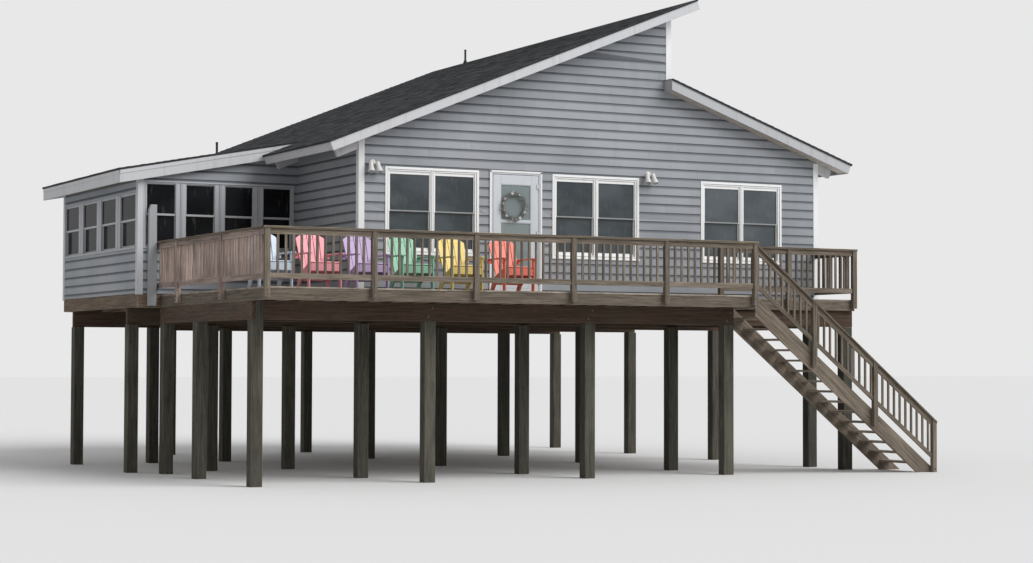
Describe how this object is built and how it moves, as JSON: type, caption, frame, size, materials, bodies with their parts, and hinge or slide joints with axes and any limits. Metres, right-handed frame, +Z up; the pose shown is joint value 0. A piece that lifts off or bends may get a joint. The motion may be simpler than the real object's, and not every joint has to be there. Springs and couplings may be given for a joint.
{
  "type": "stilt beach house",
  "caption": "Raised timber beach house on square piles with a split gable roof, a low sunroom wing, a railed deck, an outside stair and a hinged front door.",
  "frame": {"origin": "ground level under the middle of the bounding box's footprint", "axes": "+X runs along the gable wall from the sunroom to the stair, +Y goes from the deck into the house, +Z is up"},
  "size_m": [13.95, 13.401, 8.9261],
  "materials": {
    "pile_timber": "weathered treated timber",
    "beam_timber": "dark treated timber",
    "joist_timber": "treated timber",
    "deck_boards": "weathered boards",
    "rail_timber": "weathered treated timber",
    "floor_boards": "sealed boards",
    "siding": "painted lap siding",
    "white_trim": "white paint",
    "shingles": "mineral granules",
    "window_frame": "white",
    "window_glass": "clear",
    "door_paint": "white enamel",
    "wreath": "dried stems and shells",
    "handle_metal": "black",
    "vent_plastic": "black",
    "lamp_plastic": "white",
    "chair_white": "pale boards",
    "chair_pink": "pink boards",
    "chair_violet": "violet boards",
    "chair_green": "green boards",
    "chair_yellow": "yellow boards",
    "chair_coral": "coral boards"
  },
  "bodies": {
    "house": {"deck_piles": "pile_timber", "house_piles": "pile_timber", "deck_beams": "beam_timber", "house_girders": "beam_timber", "deck_joists": "joist_timber", "deck_rim": "rail_timber", "deck_floor": "deck_boards", "house_joists": "joist_timber", "house_floor": "floor_boards", "front_wall_left": "siding", "front_wall_over_door": "siding", "front_wall_right": "siding", "front_wall_end": "siding", "left_wall": "siding", "back_wall": "siding", "right_wall": "siding", "clerestory_wall": "siding", "wing_front_wall": "siding", "wing_left_wall": "siding", "wing_back_wall": "siding", "main_roof": "shingles", "right_roof": "shingles", "wing_roof": "shingles", "rafter_tails": "white_trim", "main_fascia": "white_trim", "right_fascia": "white_trim", "wing_fascia": "white_trim", "corner_boards": "white_trim", "front_windows": "window_frame", "front_glass": "window_glass", "wing_windows": "window_frame", "wing_glass": "window_glass", "rear_windows": "window_frame", "rear_glass": "window_glass", "door_frame": "white_trim", "front_rail": "rail_timber", "left_rail": "rail_timber", "walkway_rail": "rail_timber", "stair_rail": "rail_timber", "end_post": "white_trim", "stair_stringers": "rail_timber", "stair_treads": "deck_boards", "vent_pipes": "vent_plastic", "flood_lights": "lamp_plastic", "chair_white": "chair_white", "chair_pink": "chair_pink", "chair_violet": "chair_violet", "chair_green": "chair_green", "chair_yellow": "chair_yellow", "chair_coral": "chair_coral"},
    "door": {"door_leaf": "door_paint", "door_glass": "window_glass", "door_wreath": "wreath", "door_handle": "handle_metal"}
  },
  "joints": [
    {"name": "front_door_hinge", "type": "hinge", "parent": "house", "child": "door", "pos_m": [-0.063, -4.1915, 3.268], "axis": [0, 0, 1], "range_deg": [0, 100]}
  ]
}
